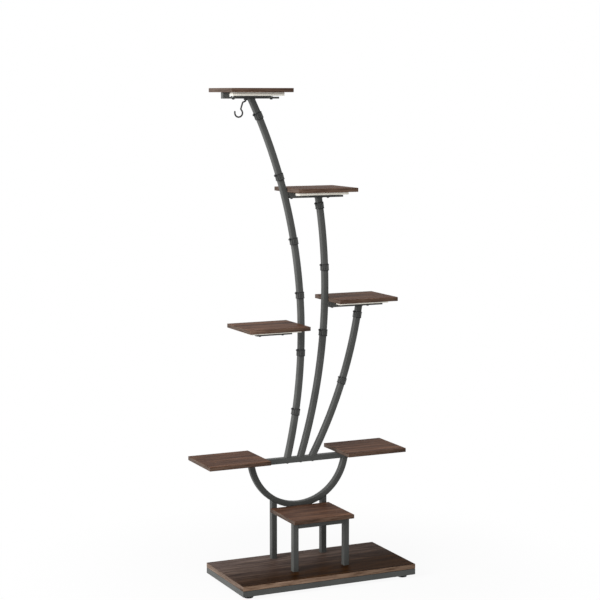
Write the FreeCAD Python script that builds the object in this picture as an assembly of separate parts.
import FreeCAD, Part
import math
import os

# A tall plant stand: a floor base, a low step on four legs, a half-moon arch and three bowed stems
# that carry shelves, with a flat grow light under each of the four upper shelves.
# Millimetres. X runs along the base, Y to the back, Z up. The origin is on the floor, in the middle
# of the stand's box.

# Square steel tube of the whole frame
tube_side = 19.0
tube_wall = 1.5
tube_corner = 2.0
tube_inner_corner = 0.5

# Base: a board on a mitred tube frame, its middle a little to the left of the legs'
base_long = 604.0
base_deep = 300.0
base_board_thick = 16.0
base_offset = -4.7
base_screw_inset = 70.0

# Levelling feet, each screwed into a nut plate in a corner of the frame
floor_gap = 10.5
foot_pad_radius = 15.0
foot_pad_edge = 1.0
foot_from_rail = 12.0
foot_travel_gap = 0.3
stud_radius = 4.0
stud_thread_gap = 0.05
stud_above_nut = 3.0
nut_across = 13.0
nut_high = 6.5
nut_plate_side = 32.0
nut_plate_thick = 3.0

# Step on four legs: the rear pair and the stems stand in one plane, set in from the base's back edge
stem_from_back = 44.0
step_leg_high = 157.5
step_side_overhang = 6.0
step_front_overhang = 23.0
step_back_gap = 2.0
side_bar_thick = 4.0
side_bar_screw_pitch = 74.0

# Boards, all of one size
shelf_long = 210.0
shelf_deep = 187.0
shelf_thick = 13.0
board_round = 0.8

# Half-moon: a cross bar and the arch under it
crossbar_top = 377.5
crossbar_end_inset = 50.0
arch_radius = 169.5
arch_centre_rise = 20.0
lower_shelf_reach = 243.5
lower_screw_from_arch = 12.0
lower_screw_from_end = 80.0
end_cap_flange = 2.0
end_cap_depth = 12.0

# Shelf heights, each from the shelf before it
middle_left_rise = 424.0
middle_right_rise = 80.0
upper_right_rise = 359.0
top_rise = 316.0

# Stems: where each stands on the cross bar, where its top is, and how far it bows to the right.
# The second and third tops are placed from the middle of the shelf that they carry.
main_foot_x = -39.0
main_top_x = -164.0
main_bow = 102.5
second_foot_x = 8.5
second_top_shift = 8.0
second_bow = 50.5
third_foot_x = 51.5
third_top_shift = 9.0
third_bow = 23.0

# Brackets: a flat strap with a spacer block at one end and a plate over the stem
strap_left_inset = 7.0
strap_right_inset = 12.0
strap_thick = 6.0
block_long = 21.0
bracket_plate_long = 108.0
bracket_plate_deep = 70.0
bracket_plate_thick = 3.0
bracket_bolt_pitch = 130.0
top_bolt_inset = 45.0
side_plate_from_stem = 96.0
side_strap_from_stem = 26.0
side_block_long = 46.0
side_bolt_pitch = 80.0
spacer_radius = 5.0
shelf_to_stem_gap = 0.3

# Grow lights
light_left_inset = 29.0
light_right_inset = 6.0
light_deep = 74.0
light_thick = 11.0
light_wall = 1.5
light_fit_gap = 0.3
led_board_thick = 1.6
led_size = 3.0
led_high = 0.8
led_edge_margin = 8.0
led_middle_margin = 5.0
led_columns = 11
diffuser_thick = 2.0
inlet_barrel_radius = 2.95
inlet_flange_lip = 1.0
inlet_flange_long = 4.0
inlet_wall = 0.6
inlet_pin_radius = 1.0
inlet_from_right = 46.0

# Swivel hook under the top bracket
hook_wire_radius = 2.5
hook_bowl_radius = 13.0
hook_bowl_drop = 39.5
hook_bowl_reach = 24.0
hook_neck_angle = 42.0
hook_neck_long = 0.5
hook_bend_radius = 3.5
hook_shank_below = 2.5
hook_shoulder_reach = 10.0
hook_shoulder_drop = 6.4
hook_tip_long = 4.0
hook_head_radius = 4.0
hook_head_high = 1.5
hook_running_gap = 0.05
bush_flange_radius = 6.0
bush_flange_high = 5.0
bush_wall = 1.5
bush_to_stem = 1.5

# Snap-on cable clips on the stems, placed by shares of the free length between shelves
clip_high = 21.0
clip_thick = 2.0
clip_gap = 0.1
clip_slot = 9.0
clip_window_wide = 9.5
clip_window_high = 12.5
clip_loop_high = 15.0
clip_loop_radius = 2.8
clip_loop_wall = 1.1
clip_loop_mouth = 1.8
clip_loop_sink = 0.9
clip_loop_forward = 1.0
clip_shares_main_low = (0.366, 0.844)
clip_shares_main_middle = (0.226, 0.659)
clip_shares_main_high = (0.126, 0.812)
clip_shares_second_low = (0.831,)
clip_shares_second_high = (0.303, 0.92)
clip_shares_third = (0.493, 0.94)

# Fasteners
bolt_radius = 2.5
bolt_hole_gap = 0.2
bolt_head_radius = 4.5
bolt_head_high = 3.0
bolt_bite = 8.0
screw_radius = 2.0
screw_head_radius = 4.0
screw_head_high = 2.5
screw_bite = 7.0
thread_gap = 0.05
plug_high = 12.0
plug_fit_gap = 0.15
weld_gap = 0.1

# Worked-out levels and places
V = FreeCAD.Vector
half_tube = tube_side / 2
rail_top = floor_gap + tube_side
base_top = rail_top + base_board_thick
overall_deep = base_deep - stem_from_back + shelf_deep / 2
base_y = base_deep / 2 - overall_deep / 2
stem_y = base_y + base_deep / 2 - stem_from_back
front_leg_y = stem_y - step_back_gap - shelf_deep + step_front_overhang
leg_x = shelf_long / 2 - step_side_overhang - half_tube
step_under = base_top + step_leg_high
crossbar_z = crossbar_top - half_tube
arch_centre_z = crossbar_z + arch_centre_rise
crossbar_half = lower_shelf_reach + shelf_long / 2 - crossbar_end_inset
lower_shelf_top = crossbar_top + shelf_thick
middle_left_top = lower_shelf_top + middle_left_rise
middle_right_top = middle_left_top + middle_right_rise
upper_right_top = middle_right_top + upper_right_rise
top_shelf_top = upper_right_top + top_rise
strap_gap = light_thick + bracket_plate_thick
bracket_drop = shelf_thick + strap_gap + strap_thick


def box(x0, x1, y0, y1, z0, z1):
    return Part.makeBox(x1 - x0, y1 - y0, z1 - z0, V(x0, y0, z0))


def rod(radius, start, end):
    """A round bar between two points."""
    along = end - start
    return Part.makeCylinder(radius, along.Length, start, along)


def upright_rod(radius, x, y, z0, z1):
    return rod(radius, V(x, y, z0), V(x, y, z1))


def rounded_rectangle(wide, high, corner):
    """A closed wire in the XY plane, centred on the origin."""
    x = wide / 2 - corner
    y = high / 2 - corner
    arcs = []
    for cx, cy, start in ((x, y, 0), (-x, y, 90), (-x, -y, 180), (x, -y, 270)):
        arcs.append(Part.makeCircle(corner, V(cx, cy, 0), V(0, 0, 1), start, start + 90))
    edges = []
    for arc, following in zip(arcs, arcs[1:] + arcs[:1]):
        edges.append(arc)
        edges.append(Part.makeLine(arc.Vertexes[-1].Point, following.Vertexes[0].Point))
    return Part.Wire(edges)


def tube_section():
    outside = rounded_rectangle(tube_side, tube_side, tube_corner)
    inside_side = tube_side - 2 * tube_wall
    inside = rounded_rectangle(inside_side, inside_side, tube_inner_corner)
    return Part.Face(outside).cut(Part.Face(inside)).Faces[0]


def plug_section():
    side = tube_side - 2 * tube_wall - 2 * plug_fit_gap
    return Part.Face(rounded_rectangle(side, side, tube_inner_corner))


def straight_tube(start, end):
    """A length of square tube with its middle line from start to end, along X, Y or Z."""
    along = end - start
    tube = tube_section().extrude(V(0, 0, along.Length))
    if abs(along.x) > 0:
        tube.rotate(V(0, 0, 0), V(0, 1, 0), 90)
    if abs(along.y) > 0:
        tube.rotate(V(0, 0, 0), V(1, 0, 0), -90)
    tube.translate(start)
    return tube


def bent(section, centre_x, centre_z, radius, from_degrees, sweep):
    """A section carried round an arc about a line along Y. Angles run down from +X."""
    face = section.copy()
    face.translate(V(centre_x + radius, stem_y, centre_z))
    centre = V(centre_x, stem_y, centre_z)
    face.rotate(centre, V(0, 1, 0), from_degrees)
    return face.revolve(centre, V(0, 1, 0), sweep)


def slab(z0, z1):
    """Everything between two levels, for cutting a bent tube off flat."""
    wide = 2 * base_long + 2 * lower_shelf_reach
    return box(-wide, wide, stem_y - wide, stem_y + wide, z0, z1)


def board(centre_x, centre_y, top, long, deep, thick):
    left = centre_x - long / 2
    front = centre_y - deep / 2
    blank = box(left, left + long, front, front + deep, top - thick, top)
    return blank.makeFillet(min(board_round, thick / 4), blank.Edges)


def shelf_board(centre_x, centre_y, top):
    return board(centre_x, centre_y, top, shelf_long, shelf_deep, shelf_thick)


def drilled(shape, holes):
    for hole in holes:
        shape = shape.cut(hole)
    return shape


def headed_pin(radius, head_radius, head_high, head_at, tip):
    """A bolt or screw: a shank from its head's seat to its tip, and the head behind the seat."""
    along = tip - head_at
    along.normalize()
    shank = rod(radius, head_at, tip)
    head = rod(head_radius, head_at - along * head_high, head_at)
    return head.fuse(shank).removeSplitter()


class Stem:
    """A tube bowed to the right between a foot on the cross bar and a top under a bracket."""

    def __init__(self, foot_x, top_x, bow, top_z):
        self.foot_x = foot_x
        self.top_x = top_x
        self.top_z = top_z
        rise = top_z - crossbar_top
        run = top_x - foot_x
        chord = math.hypot(rise, run)
        self.radius = chord ** 2 / (8 * bow) + bow / 2
        back = bow - self.radius
        self.centre_x = (foot_x + top_x) / 2 + rise / chord * back
        self.centre_z = (crossbar_top + top_z) / 2 - run / chord * back

    def x_at(self, z, outward=0.0):
        """X of the middle line at a height, or of the line that lies outward of it by a distance."""
        return self.centre_x + math.sqrt((self.radius + outward) ** 2 - (z - self.centre_z) ** 2)

    def lean(self, z):
        """Lean to the right at a height, in degrees from upright."""
        return -math.degrees(math.asin((z - self.centre_z) / self.radius))

    def tube(self, z0, z1):
        spare = math.degrees(2 * tube_side / self.radius)
        start = self.lean(z1) - spare
        sweep = self.lean(z0) + spare - start
        whole = bent(tube_section(), self.centre_x, self.centre_z, self.radius, start, sweep)
        return whole.common(slab(z0, z1))

    def plug(self, z0, z1):
        """A short straight plug in the tube, leaning as the tube does there."""
        z = (z0 + z1) / 2
        half = z1 - z0 + tube_side
        whole = plug_section().extrude(V(0, 0, 2 * half))
        whole.translate(V(self.x_at(z), stem_y, z - half))
        whole.rotate(V(self.x_at(z), stem_y, z), V(0, 1, 0), self.lean(z))
        return whole.common(slab(z0, z1))


def right_of(stem, top):
    """Left edge of a board that stands against the stem's right face."""
    return max(stem.x_at(z, half_tube) for z in (top - shelf_thick, top)) + shelf_to_stem_gap


def left_of(stem, top):
    """Right edge of a board, and of the bracket under it, against the stem's left face."""
    return min(stem.x_at(z, -half_tube) for z in (top - bracket_drop, top)) - shelf_to_stem_gap


class Tier:
    """One of the four upper shelves, with the places of its bracket and light.

    The strap and the block are each given by their ends in X, the bolts by their places in X.
    """

    def __init__(self, name, left, top, plate_x, strap, block, bolts_x):
        self.name = name
        self.top = top
        self.under = top - shelf_thick
        self.strap_top = self.under - strap_gap
        self.strap_under = self.strap_top - strap_thick
        self.right = left + shelf_long
        self.x = left + shelf_long / 2
        self.light_left = left + light_left_inset
        self.light_right = self.right - light_right_inset
        self.plate_x = plate_x
        self.strap_left, self.strap_right = strap
        self.block_left, self.block_right = block
        self.bolts_x = bolts_x
        self.spacers_x = [x for x in bolts_x if not self.block_left < x < self.block_right]


def tier_on_stem(name, left, top, stem_x, bolt_inset):
    """A shelf on top of a stem: the block stands at the strap's left end."""
    strap_left = left + strap_left_inset
    strap = (strap_left, left + shelf_long - strap_right_inset)
    left_bolt = left + bolt_inset
    bolts_x = (left_bolt, left_bolt + bracket_bolt_pitch)
    return Tier(name, left, top, stem_x, strap, (strap_left, strap_left + block_long), bolts_x)


def tier_beside_stem(name, right, top):
    """A shelf at the left of a stem: the block reaches from the strap to the stem."""
    plate_x = right - side_plate_from_stem
    strap = (plate_x - bracket_plate_long / 2, right - side_strap_from_stem)
    bolts_x = (plate_x - side_bolt_pitch / 2, plate_x + side_bolt_pitch / 2)
    return Tier(name, right - shelf_long, top, plate_x, strap, (right - side_block_long, right), bolts_x)


main_stem = Stem(main_foot_x, main_top_x, main_bow, top_shelf_top - bracket_drop)
top_tier = tier_on_stem("top", main_top_x - shelf_long / 2, top_shelf_top, main_top_x, top_bolt_inset)
block_bolt_inset = strap_left_inset + block_long / 2
upper_right_left = right_of(main_stem, upper_right_top)
second_top_x = upper_right_left + shelf_long / 2 + second_top_shift
second_stem = Stem(second_foot_x, second_top_x, second_bow, upper_right_top - bracket_drop)
upper_right_tier = tier_on_stem(
    "upper_right", upper_right_left, upper_right_top, second_top_x, block_bolt_inset)
middle_right_left = right_of(second_stem, middle_right_top)
third_top_x = middle_right_left + shelf_long / 2 + third_top_shift
third_stem = Stem(third_foot_x, third_top_x, third_bow, middle_right_top - bracket_drop)
middle_right_tier = tier_on_stem(
    "middle_right", middle_right_left, middle_right_top, third_top_x, block_bolt_inset)
middle_left_tier = tier_beside_stem("middle_left", left_of(main_stem, middle_left_top), middle_left_top)
tiers = (top_tier, upper_right_tier, middle_right_tier, middle_left_tier)

parts = {}
screws = []


def add_screw(x, y, board_under, bar_thick):
    """A wood screw up through a bar that lies under a board. Returns the bar's and the board's holes."""
    seat = V(x, y, board_under - bar_thick)
    tip = V(x, y, board_under + screw_bite)
    screws.append(headed_pin(screw_radius, screw_head_radius, screw_head_high, seat, tip))
    bar_hole = upright_rod(screw_radius + bolt_hole_gap, x, y, seat.z, board_under)
    pilot = upright_rod(screw_radius + thread_gap, x, y, board_under, tip.z + thread_gap)
    return bar_hole, pilot


# Base frame: four mitred rails
base_left = base_offset - base_long / 2
base_right = base_offset + base_long / 2
base_front = base_y - base_deep / 2
base_back = base_y + base_deep / 2
rail_z = floor_gap + half_tube


def mitred(tube, corners):
    """A rail cut to a plan outline, so that its ends are at 45 degrees."""
    points = [V(x, y, floor_gap) for x, y in corners]
    outline = Part.Face(Part.makePolygon(points + points[:1]))
    return tube.common(outline.extrude(V(0, 0, tube_side)))


def long_rail(outer_y, inward):
    middle_y = outer_y + inward * half_tube
    inner_y = outer_y + inward * tube_side
    tube = straight_tube(V(base_left, middle_y, rail_z), V(base_right, middle_y, rail_z))
    ends = ((base_left, outer_y), (base_right, outer_y))
    inner = ((base_right - tube_side, inner_y), (base_left + tube_side, inner_y))
    return mitred(tube, ends + inner)


def short_rail(outer_x, inward):
    middle_x = outer_x + inward * half_tube
    inner_x = outer_x + inward * tube_side
    tube = straight_tube(V(middle_x, base_front, rail_z), V(middle_x, base_back, rail_z))
    ends = ((outer_x, base_front), (outer_x, base_back))
    inner = ((inner_x, base_back - tube_side), (inner_x, base_front + tube_side))
    return mitred(tube, ends + inner)


base_board = board(base_offset, base_y, base_top, base_long, base_deep, base_board_thick)
rails = {"front": long_rail(base_front, 1), "rear": long_rail(base_back, -1)}
for side, rail_y in (("front", base_front + half_tube), ("rear", base_back - half_tube)):
    for x in (base_left + base_screw_inset, base_offset, base_right - base_screw_inset):
        rail_hole, pilot = add_screw(x, rail_y, floor_gap + tube_side, tube_side)
        rails[side] = rails[side].cut(rail_hole)
        base_board = base_board.cut(pilot)
parts["base_rail_front"] = rails["front"]
parts["base_rail_rear"] = rails["rear"]
parts["base_rail_left"] = short_rail(base_left, 1)
parts["base_rail_right"] = short_rail(base_right, -1)


# Levelling feet in their nut plates
def hexagon_nut(x, y, z):
    reach = nut_across / math.sqrt(3)
    turns = [math.radians(60 * n) for n in range(7)]
    corners = [V(x + reach * math.cos(turn), y + reach * math.sin(turn), z) for turn in turns]
    return Part.Face(Part.makePolygon(corners)).extrude(V(0, 0, nut_high))


nut_plates = []
nut_top = floor_gap + nut_plate_thick + nut_high
for side_y, corner_y, into_y in (("front", base_front, 1), ("rear", base_back, -1)):
    for side_x, corner_x, into_x in (("left", base_left, 1), ("right", base_right, -1)):
        x = corner_x + into_x * (tube_side + foot_from_rail)
        y = corner_y + into_y * (tube_side + foot_from_rail)
        near_x = corner_x + into_x * tube_side
        near_y = corner_y + into_y * tube_side
        far_x = near_x + into_x * nut_plate_side
        far_y = near_y + into_y * nut_plate_side
        plate = box(
            min(near_x, far_x), max(near_x, far_x), min(near_y, far_y), max(near_y, far_y),
            floor_gap, floor_gap + nut_plate_thick)
        nut = hexagon_nut(x, y, floor_gap + nut_plate_thick)
        bore = upright_rod(stud_radius + stud_thread_gap, x, y, 0, nut_top)
        nut_plates.append(plate.fuse(nut).removeSplitter().cut(bore))
        pad = upright_rod(foot_pad_radius, x, y, 0, floor_gap - foot_travel_gap)
        rims = [e for e in pad.Edges if e.BoundBox.ZLength < 1e-6]
        pad = pad.makeChamfer(min(foot_pad_edge, floor_gap / 4), rims)
        stud = upright_rod(stud_radius, x, y, floor_gap - foot_travel_gap, nut_top + stud_above_nut)
        parts["levelling_foot_" + side_y + "_" + side_x] = pad.fuse(stud).removeSplitter()
parts["foot_nut_plates"] = nut_plates

# Step legs on cross rails: the front pair ends under the step, the rear pair carries the arch
arch_outside = Part.makeCylinder(
    arch_radius + half_tube + weld_gap, 2 * tube_side, V(0, stem_y - tube_side, arch_centre_z), V(0, 1, 0))
leg_bolts = []
plugs = []
legs = {}
cross_rails = {}
for side_x, x in (("left", -leg_x), ("right", leg_x)):
    inner_front = base_front + tube_side
    inner_back = base_back - tube_side
    cross_rail = straight_tube(V(x, inner_front, rail_z), V(x, inner_back, rail_z))
    for side_y, y in (("front", front_leg_y), ("rear", stem_y)):
        leg_end = step_under if side_y == "front" else arch_centre_z
        leg = straight_tube(V(x, y, base_top), V(x, y, leg_end))
        if side_y == "rear":
            leg = leg.cut(arch_outside)
        legs[side_y + "_" + side_x] = leg
        tip = V(x, y, base_top + bolt_bite)
        leg_bolts.append(headed_pin(bolt_radius, bolt_head_radius, bolt_head_high, V(x, y, floor_gap), tip))
        way = upright_rod(bolt_radius + bolt_hole_gap, x, y, floor_gap, base_top)
        cross_rail = cross_rail.cut(way)
        base_board = base_board.cut(way)
        plug = plug_section().extrude(V(0, 0, plug_high))
        plug.translate(V(x, y, base_top))
        plugs.append(plug.cut(upright_rod(bolt_radius + thread_gap, x, y, base_top, base_top + plug_high)))
    cross_rails[side_x] = cross_rail
parts["base_board"] = base_board
for side_x, cross_rail in cross_rails.items():
    parts["base_cross_rail_" + side_x] = cross_rail
for place, leg in legs.items():
    parts["step_leg_" + place] = leg
parts["leg_bolts"] = leg_bolts

# Step board on a front apron and two flat side bars
apron_z = step_under - half_tube
apron_front_x = leg_x - half_tube
bar_start_y = front_leg_y + half_tube
bar_end_y = stem_y - half_tube
step_y = bar_end_y - step_back_gap - shelf_deep / 2
step_board = shelf_board(0, step_y, step_under + shelf_thick)
parts["step_apron_front"] = straight_tube(
    V(-apron_front_x, front_leg_y, apron_z), V(apron_front_x, front_leg_y, apron_z))
for side_x, x in (("left", -leg_x), ("right", leg_x)):
    bar = box(x - half_tube, x + half_tube, bar_start_y, bar_end_y, step_under - side_bar_thick, step_under)
    middle_y = (bar_start_y + bar_end_y) / 2
    for y in (middle_y - side_bar_screw_pitch / 2, middle_y + side_bar_screw_pitch / 2):
        bar_hole, pilot = add_screw(x, y, step_under, side_bar_thick)
        bar = bar.cut(bar_hole)
        step_board = step_board.cut(pilot)
    parts["step_side_bar_" + side_x] = bar
parts["step_board"] = step_board

# Half-moon: the arch ends under the cross bar, and the lower shelves lie on the bar's ends
arch = bent(tube_section(), 0, arch_centre_z, arch_radius, 0, 180)
parts["arch"] = arch.common(slab(0, crossbar_z - half_tube))
crossbar = straight_tube(V(-crossbar_half, stem_y, crossbar_z), V(crossbar_half, stem_y, crossbar_z))
arch_end_drop = arch_centre_z - crossbar_z + half_tube
arch_end_x = math.sqrt((arch_radius + half_tube) ** 2 - arch_end_drop ** 2)
inner_screw = arch_end_x + lower_screw_from_arch
outer_screw = lower_shelf_reach + shelf_long / 2 - lower_screw_from_end
for side_x, way in (("left", -1), ("right", 1)):
    shelf = shelf_board(way * lower_shelf_reach, stem_y, lower_shelf_top)
    for reach in (inner_screw, outer_screw):
        bar_hole, pilot = add_screw(way * reach, stem_y, crossbar_top, tube_side)
        crossbar = crossbar.cut(bar_hole)
        shelf = shelf.cut(pilot)
    parts["shelf_lower_" + side_x] = shelf
end_caps = []
for way in (-1, 1):
    flange = Part.Face(rounded_rectangle(tube_side, tube_side, tube_corner)).extrude(V(0, 0, end_cap_flange))
    insert = plug_section().extrude(V(0, 0, -end_cap_depth))
    cap = flange.fuse(insert).removeSplitter()
    cap.rotate(V(0, 0, 0), V(0, 1, 0), 90 * way)
    cap.translate(V(way * crossbar_half, stem_y, crossbar_z))
    end_caps.append(cap)
parts["crossbar_end_caps"] = end_caps

# Stems, bolted up through the cross bar into a plug in each foot
frame_bolts = []
stems = {"main_stem": main_stem, "second_stem": second_stem, "third_stem": third_stem}
for name, stem in stems.items():
    parts[name] = stem.tube(crossbar_top, stem.top_z)
    seat = V(stem.foot_x, stem_y, crossbar_top - tube_side)
    tip = V(stem.foot_x, stem_y, crossbar_top + bolt_bite)
    frame_bolts.append(headed_pin(bolt_radius, bolt_head_radius, bolt_head_high, seat, tip))
    crossbar = crossbar.cut(rod(bolt_radius + bolt_hole_gap, seat, V(stem.foot_x, stem_y, crossbar_top)))
    plug = stem.plug(crossbar_top, crossbar_top + plug_high)
    thread_end = tip.z + thread_gap
    thread = upright_rod(bolt_radius + thread_gap, stem.foot_x, stem_y, crossbar_top, thread_end)
    plugs.append(plug.cut(thread))
parts["crossbar"] = crossbar
parts["tube_plugs"] = plugs

# Brackets under the upper shelves, with their bolts and spacers
bracket_bolts = []
spacers = []
brackets = {}
for tier in tiers:
    front = stem_y - half_tube
    back = stem_y + half_tube
    strap = box(tier.strap_left, tier.strap_right, front, back, tier.strap_under, tier.strap_top)
    block = box(tier.block_left, tier.block_right, front, back, tier.strap_top, tier.under)
    plate = box(
        tier.plate_x - bracket_plate_long / 2, tier.plate_x + bracket_plate_long / 2,
        stem_y - bracket_plate_deep / 2, stem_y + bracket_plate_deep / 2,
        tier.strap_top, tier.strap_top + bracket_plate_thick)
    plate = plate.makeFillet(bracket_plate_thick, [e for e in plate.Edges if e.BoundBox.ZLength > 1e-6])
    shelf = shelf_board(tier.x, stem_y, tier.top)
    for x in tier.bolts_x:
        seat = V(x, stem_y, tier.strap_under)
        tip = V(x, stem_y, tier.under + screw_bite)
        bracket_bolts.append(headed_pin(bolt_radius, bolt_head_radius, bolt_head_high, seat, tip))
        way = upright_rod(bolt_radius + bolt_hole_gap, x, stem_y, tier.strap_under, tier.under)
        if x in tier.spacers_x:
            spacers.append(upright_rod(spacer_radius, x, stem_y, tier.strap_top, tier.under).cut(way))
            spacer_room = upright_rod(spacer_radius + bolt_hole_gap, x, stem_y, tier.strap_top, tier.under)
            plate = plate.cut(spacer_room)
        else:
            block = block.cut(way)
        strap = strap.cut(way)
        shelf = shelf.cut(upright_rod(bolt_radius + thread_gap, x, stem_y, tier.under, tip.z + thread_gap))
    brackets[tier.name] = strap.fuse([block, plate]).removeSplitter()
    parts["shelf_" + tier.name] = shelf
parts["bracket_bolts"] = bracket_bolts
parts["shelf_spacers"] = spacers

# The middle left bracket has no stem of its own: a bolt through the main stem holds its block
stay_z = (middle_left_tier.strap_top + middle_left_tier.under) / 2
stay_seat_x = main_stem.x_at(stay_z, half_tube) + weld_gap
stay_tip_x = stay_seat_x - tube_side - bolt_bite
stay_seat = V(stay_seat_x, stem_y, stay_z)
stay_tip = V(stay_tip_x, stem_y, stay_z)
frame_bolts.append(headed_pin(bolt_radius, bolt_head_radius, bolt_head_high, stay_seat, stay_tip))
block_face = V(middle_left_tier.right, stem_y, stay_z)
stay_stem_hole = rod(bolt_radius + bolt_hole_gap, stay_seat, block_face)
parts["main_stem"] = parts["main_stem"].cut(stay_stem_hole)
stay_thread = rod(bolt_radius + thread_gap, block_face, stay_tip - V(thread_gap, 0, 0))
brackets["middle_left"] = brackets["middle_left"].cut(stay_thread)
parts["frame_bolts"] = frame_bolts
parts["shelf_screws"] = screws


# Grow lights: a shallow tray, a board of lamps and a diffuser, cut out round the spacer block
def light_blank(tier, inset, z0, z1):
    half_deep = light_deep / 2 - inset
    left = tier.light_left + inset
    right = tier.light_right - inset
    blank = box(left, right, stem_y - half_deep, stem_y + half_deep, z0, z1)
    room = light_fit_gap + inset
    front = stem_y - half_tube - room
    back = stem_y + half_tube + room
    notch = box(tier.block_left - room, tier.block_right + room, front, back, z0, z1)
    return blank.cut(notch)


def spacer_ways(tier, z0, z1):
    return [upright_rod(spacer_radius + bolt_hole_gap, x, stem_y, z0, z1) for x in tier.spacers_x]


inlets = []
lining = light_wall + light_fit_gap
for tier in tiers:
    light_under = tier.under - light_thick
    tray_floor = tier.under - light_wall
    tray = light_blank(tier, 0, light_under, tier.under)
    tray = tray.cut(light_blank(tier, light_wall, light_under, tray_floor))
    back_y = stem_y + light_deep / 2
    inlet_x = tier.light_right - inlet_from_right
    inlet_z = (light_under + tray_floor) / 2
    outside = V(inlet_x, back_y + inlet_flange_long, inlet_z)
    wall_face = V(inlet_x, back_y, inlet_z)
    inside = V(inlet_x, back_y - light_wall, inlet_z)
    flange = rod(inlet_barrel_radius + inlet_flange_lip, wall_face, outside)
    barrel = rod(inlet_barrel_radius, inside, wall_face)
    socket = rod(inlet_barrel_radius - inlet_wall, inside, outside)
    pin = rod(inlet_pin_radius, inside, outside)
    inside_wall = V(inlet_x, back_y - 2 * light_wall, inlet_z)
    back_disc = rod(inlet_barrel_radius, inside_wall, inside)
    inlets.append(flange.fuse(barrel).cut(socket).fuse([pin, back_disc]).removeSplitter())
    tray = tray.cut(rod(inlet_barrel_radius + thread_gap, inside, wall_face))
    parts["light_housing_" + tier.name] = drilled(tray, spacer_ways(tier, light_under, tier.under))

    board_under = tray_floor - led_board_thick
    led_board = light_blank(tier, lining, board_under, tray_floor)
    led_start = tier.light_left + led_edge_margin
    led_run = tier.light_right - led_edge_margin - led_start
    led_outer = light_deep / 2 - led_edge_margin
    led_inner = half_tube + led_middle_margin
    leds = []
    for column in range(led_columns):
        x = led_start + led_run * column / (led_columns - 1)
        for offset in (-led_outer, -led_inner, led_inner, led_outer):
            y = stem_y + offset
            half = led_size / 2
            leds.append(box(x - half, x + half, y - half, y + half, board_under - led_high, board_under))
    inlet_half = inlet_barrel_radius + lining
    inlet_front = back_y - 2 * light_wall - lining
    inlet_room = box(
        inlet_x - inlet_half, inlet_x + inlet_half, inlet_front, back_y, light_under, tray_floor)
    led_board = led_board.cut(inlet_room).fuse(leds).removeSplitter()
    parts["led_board_" + tier.name] = drilled(led_board, spacer_ways(tier, light_under, tier.under))

    diffuser = light_blank(tier, lining, light_under, light_under + diffuser_thick).cut(inlet_room)
    parts["light_diffuser_" + tier.name] = drilled(diffuser, spacer_ways(tier, light_under, tier.under))
parts["dc_inlets"] = inlets

# Swivel hook, in a bush through the top bracket
top_lean = math.radians(main_stem.lean(main_stem.top_z))
stem_half_wide = half_tube / math.cos(top_lean)
hook_x = main_stem.top_x - stem_half_wide - bush_to_stem - bush_flange_radius
bush_bore = hook_wire_radius + hook_running_gap
bush_radius = hook_wire_radius + bush_wall
bush_under = top_tier.strap_under - bush_flange_high
bush = upright_rod(bush_radius, hook_x, stem_y, top_tier.strap_under, top_tier.strap_top)
bush = bush.fuse(upright_rod(bush_flange_radius, hook_x, stem_y, bush_under, top_tier.strap_under))
bore = upright_rod(bush_bore, hook_x, stem_y, bush_under, top_tier.strap_top)
parts["hook_bush"] = bush.removeSplitter().cut(bore)
head_room = upright_rod(hook_head_radius + bolt_hole_gap, hook_x, stem_y, top_tier.strap_top, top_tier.under)
bush_hole = upright_rod(bush_radius + thread_gap, hook_x, stem_y, top_tier.strap_under, top_tier.strap_top)
brackets["top"] = drilled(brackets["top"], (head_room, bush_hole))
for tier in tiers:
    parts["bracket_" + tier.name] = brackets[tier.name]


def rounded_path(points, radius):
    """Straight runs through the points, with an arc of one radius at each inner point."""
    edges = []
    last = points[0]
    for before, corner, after in zip(points, points[1:], points[2:]):
        back = (before - corner).normalize()
        on = (after - corner).normalize()
        half_turn = back.getAngle(on) / 2
        cut_back = radius / math.tan(half_turn)
        middle = (back + on).normalize()
        arc_middle = corner + middle * (radius / math.sin(half_turn) - radius)
        start = corner + back * cut_back
        stop = corner + on * cut_back
        edges.append(Part.makeLine(last, start))
        edges.append(Part.Arc(start, arc_middle, stop).toShape())
        last = stop
    edges.append(Part.makeLine(last, points[-1]))
    return edges


hook_top = top_tier.strap_top + hook_head_high
bowl = V(hook_x - hook_bowl_reach, stem_y, bush_under - hook_bowl_drop)


def on_bowl(degrees):
    turn = math.radians(degrees)
    return bowl + V(math.cos(turn), 0, math.sin(turn)) * hook_bowl_radius


neck = math.radians(hook_neck_angle)
joins_bowl = on_bowl(hook_neck_angle)
kink = joins_bowl + V(-math.sin(neck), 0, math.cos(neck)) * (hook_neck_long + hook_bend_radius)
shank_end = V(hook_x, stem_y, bush_under - hook_shank_below)
shoulder = V(hook_x - hook_shoulder_reach, stem_y, bush_under - hook_shoulder_drop)
hook_start = V(hook_x, stem_y, hook_top)
hook_path = rounded_path([hook_start, shank_end, shoulder, kink, joins_bowl], hook_bend_radius)
hook_path.append(Part.Arc(joins_bowl, on_bowl((hook_neck_angle - 180) / 2), on_bowl(-180)).toShape())
tip = on_bowl(-180) + V(0, 0, hook_tip_long)
hook_path.append(Part.makeLine(on_bowl(-180), tip))
wire_end = Part.Wire(Part.makeCircle(hook_wire_radius, hook_start, V(0, 0, -1)))
hook = Part.Wire(hook_path).makePipeShell([wire_end], True, False)
hook_head = upright_rod(hook_head_radius, hook_x, stem_y, top_tier.strap_top, hook_top)
hook_end = Part.makeSphere(hook_wire_radius, tip)
parts["hook"] = hook.fuse([hook_head, hook_end]).removeSplitter()


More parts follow.
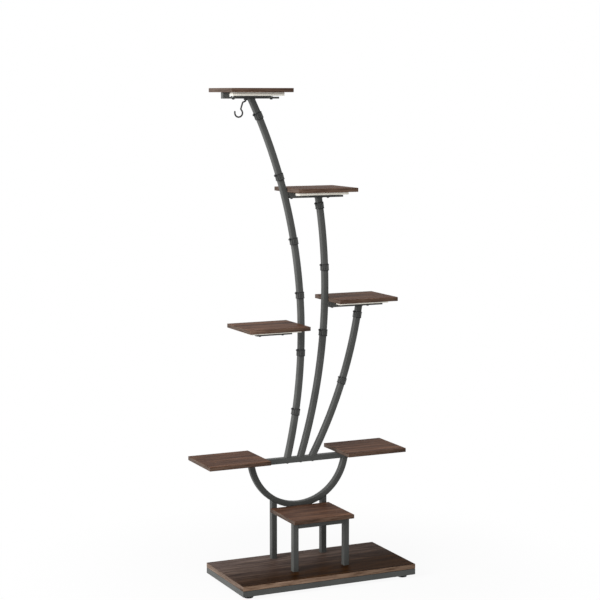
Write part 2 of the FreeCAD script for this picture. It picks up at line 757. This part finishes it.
# Cable clips
def clip(stem, z):
    inside = tube_side + 2 * clip_gap
    outside = inside + 2 * clip_thick
    half = clip_high / 2
    outline = rounded_rectangle(outside, outside, tube_corner + clip_thick)
    band = Part.Face(outline).extrude(V(0, 0, clip_high))
    band = band.cut(box(-inside / 2, inside / 2, -inside / 2, inside / 2, 0, clip_high))
    band = band.cut(box(-clip_slot / 2, clip_slot / 2, 0, outside, 0, clip_high))
    window_low = half - clip_window_high / 2
    window_top = half + clip_window_high / 2
    half_window = clip_window_wide / 2
    band = band.cut(box(-half_window, half_window, -outside, 0, window_low, window_top))
    loop_low = half - clip_loop_high / 2
    loop_top = half + clip_loop_high / 2
    face_x = -outside / 2
    hollow_radius = clip_loop_radius - clip_loop_wall
    loop_x = face_x - hollow_radius + clip_loop_sink
    loop_y = -clip_loop_forward
    loop = upright_rod(clip_loop_radius, loop_x, loop_y, loop_low, loop_top)
    loop = loop.cut(box(-inside / 2, inside / 2, -outside, outside, 0, clip_high))
    hollow = upright_rod(hollow_radius, loop_x, loop_y, 0, clip_high)
    mouth = box(face_x - clip_loop_mouth, face_x, loop_y, loop_y + 2 * clip_loop_radius, 0, clip_high)
    whole = band.fuse(loop).cut(hollow).cut(mouth).removeSplitter()
    whole.translate(V(stem.x_at(z), stem_y, z - half))
    whole.rotate(V(stem.x_at(z), stem_y, z), V(0, 1, 0), stem.lean(z))
    return whole


def clips_between(stem, z0, z1, shares):
    return [clip(stem, z0 + share * (z1 - z0)) for share in shares]


main_low_end = middle_left_top - bracket_drop
main_middle_end = upper_right_top - bracket_drop
parts["main_stem_clips"] = (
    clips_between(main_stem, crossbar_top, main_low_end, clip_shares_main_low)
    + clips_between(main_stem, middle_left_top, main_middle_end, clip_shares_main_middle)
    + clips_between(main_stem, upper_right_top, main_stem.top_z, clip_shares_main_high))
second_low_end = middle_right_top - bracket_drop
parts["second_stem_clips"] = (
    clips_between(second_stem, crossbar_top, second_low_end, clip_shares_second_low)
    + clips_between(second_stem, middle_right_top, second_stem.top_z, clip_shares_second_high))
parts["third_stem_clips"] = clips_between(third_stem, crossbar_top, third_stem.top_z, clip_shares_third)

os.makedirs("parts", exist_ok=True)
for name, made in parts.items():
    shape = Part.makeCompound(made) if isinstance(made, list) else made
    shape.exportStep("parts/" + name + ".step")
    sound = "valid" if shape.isValid() else "NOT VALID"
    print(name, len(shape.Solids), "solids", round(shape.Volume / 1000, 1), "cm3", sound)
print(len(parts), "nodes; hook axis x", round(hook_x, 3), "y", round(stem_y, 3))
